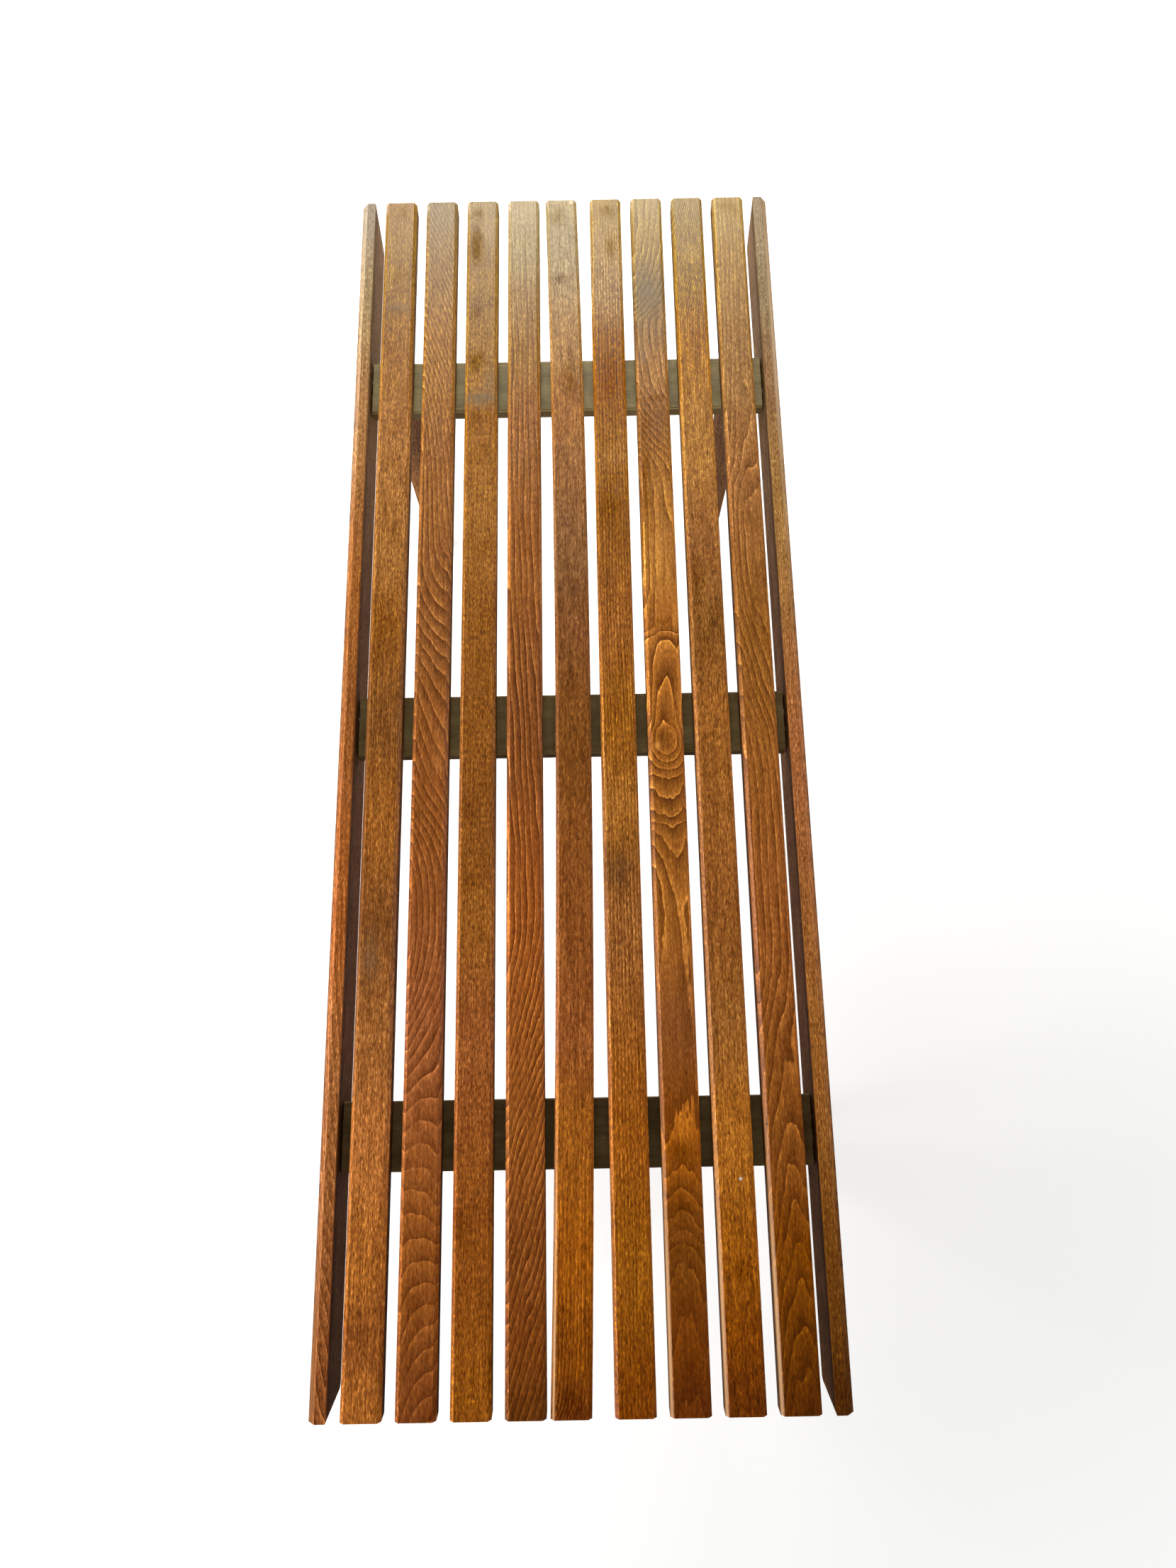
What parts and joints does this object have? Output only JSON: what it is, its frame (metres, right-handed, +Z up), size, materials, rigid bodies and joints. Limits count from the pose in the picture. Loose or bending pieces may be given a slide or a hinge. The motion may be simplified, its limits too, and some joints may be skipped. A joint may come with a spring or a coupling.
{
  "type": "slatted bench",
  "caption": "Long low wooden bench or table: parallel slats with gaps between deeper side rails, dark cross battens below and upright tapered round legs.",
  "frame": {"origin": "on the floor, under the middle of the top", "axes": "+Z up, +Y along the slats towards the far end, +X across the slats to the right"},
  "size_m": [0.458, 1.246, 0.38],
  "materials": {
    "stained_beech": "satin varnish over a mid-brown stain",
    "batten_stain": "satin dark olive-brown paint on wood",
    "plain_beech": "bare wood",
    "zinc_steel": "zinc plated, slightly dulled",
    "glide_nylon": "smooth dark nylon"
  },
  "bodies": {
    "root": {"slat_1": "stained_beech", "slat_2": "stained_beech", "slat_3": "stained_beech", "slat_4": "stained_beech", "slat_5": "stained_beech", "slat_6": "stained_beech", "slat_7": "stained_beech", "slat_8": "stained_beech", "slat_9": "stained_beech", "left_rail": "stained_beech", "right_rail": "stained_beech", "near_batten": "batten_stain", "middle_batten": "batten_stain", "far_batten": "batten_stain", "near_left_leg": "stained_beech", "near_right_leg": "stained_beech", "far_left_leg": "stained_beech", "far_right_leg": "stained_beech", "near_left_leg_plate": "zinc_steel", "near_right_leg_plate": "zinc_steel", "far_left_leg_plate": "zinc_steel", "far_right_leg_plate": "zinc_steel", "hanger_bolts": "zinc_steel", "leg_plate_screws": "zinc_steel", "near_slat_screws": "zinc_steel", "middle_slat_screws": "zinc_steel", "far_slat_screws": "zinc_steel", "left_rail_dowels": "plain_beech", "right_rail_dowels": "plain_beech", "near_left_glide": "glide_nylon", "near_right_glide": "glide_nylon", "far_left_glide": "glide_nylon", "far_right_glide": "glide_nylon"}
  },
  "joints": []
}
